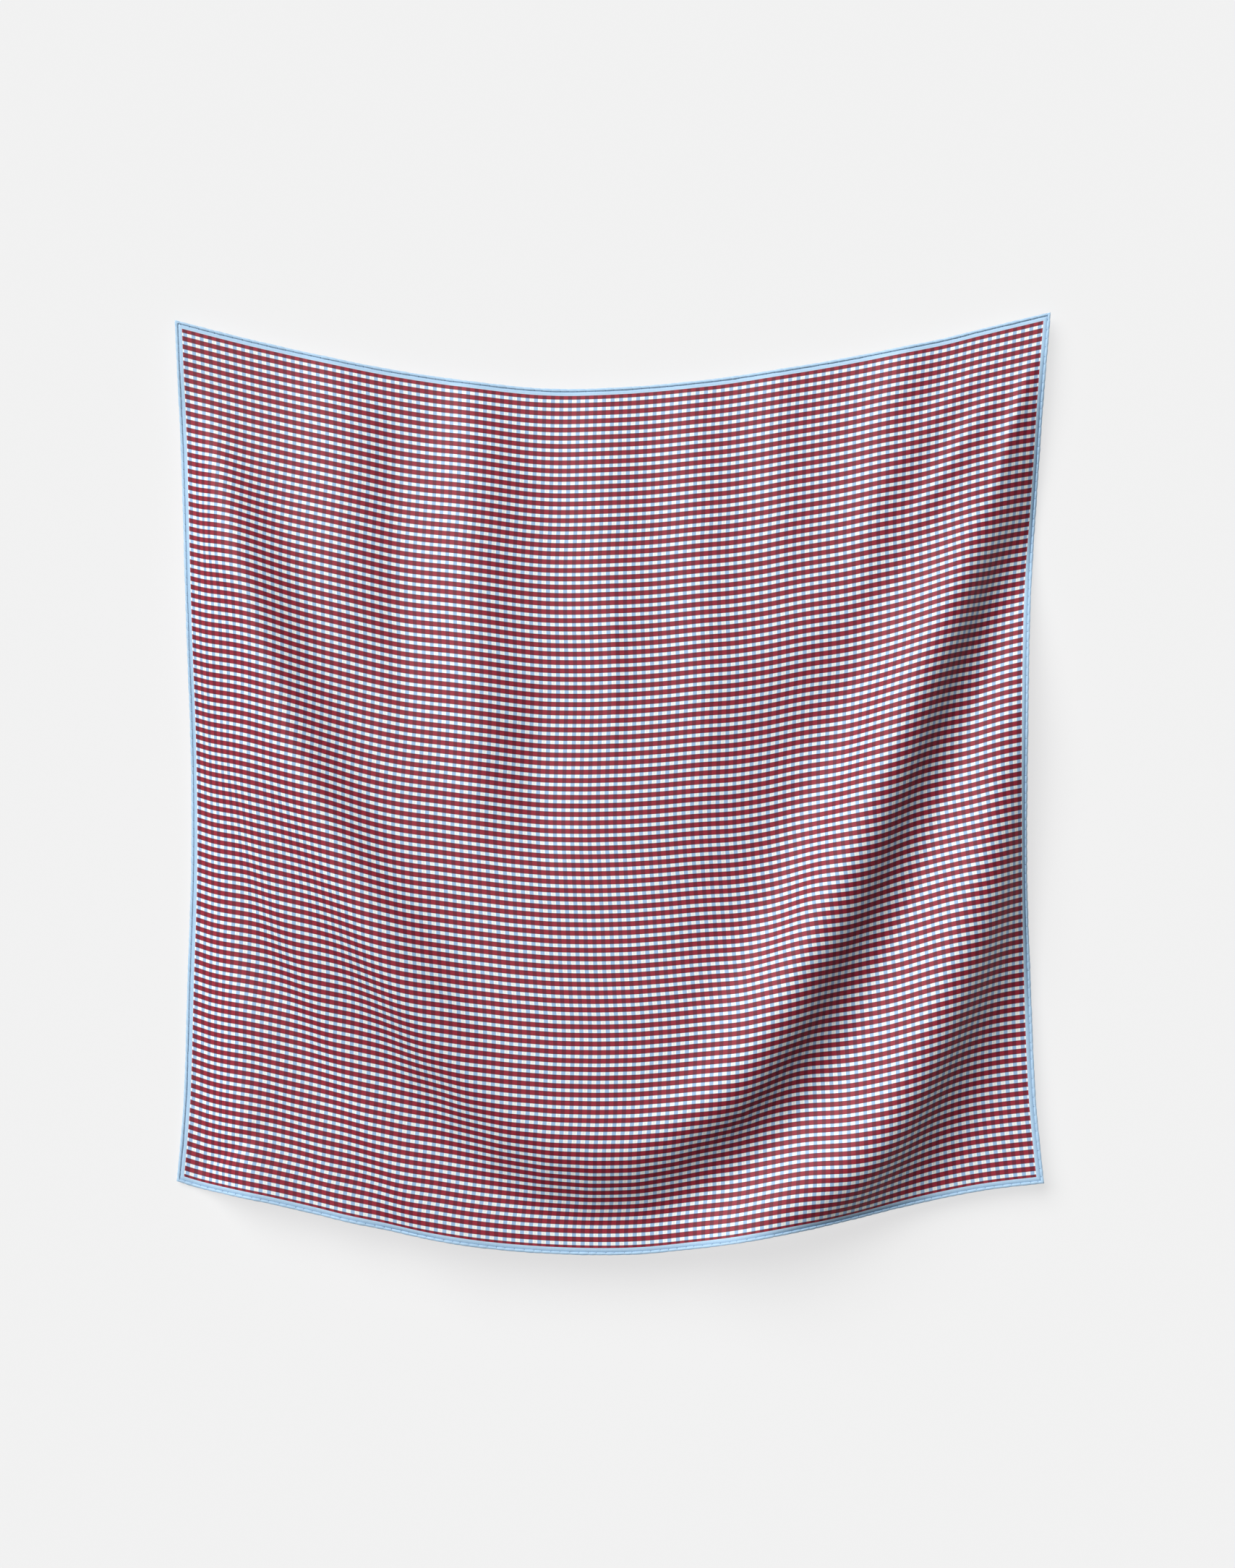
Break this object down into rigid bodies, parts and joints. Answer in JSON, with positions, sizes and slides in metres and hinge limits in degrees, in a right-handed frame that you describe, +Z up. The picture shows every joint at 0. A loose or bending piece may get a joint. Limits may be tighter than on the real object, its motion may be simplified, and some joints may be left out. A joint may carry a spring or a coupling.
{
  "type": "hanging square silk scarf",
  "caption": "Square silk scarf with a hand-rolled hem and a fine woven-look check, hanging open by its top corners, with a sagging top edge and soft swag folds.",
  "frame": {"origin": "midway between the scarf's two held top corners, on the straight line that joins them", "axes": "+Z up, +X to the right as seen from the front, -Y towards the viewer, away from the wall behind"},
  "size_m": [0.876, 0.0897, 0.9401],
  "materials": {
    "silk": "printed silk twill with a soft sheen: burgundy and pale blue stripes crossing on white, with a pale blue border and hem"
  },
  "bodies": {
    "root": {"scarf": "silk"}
  },
  "joints": []
}
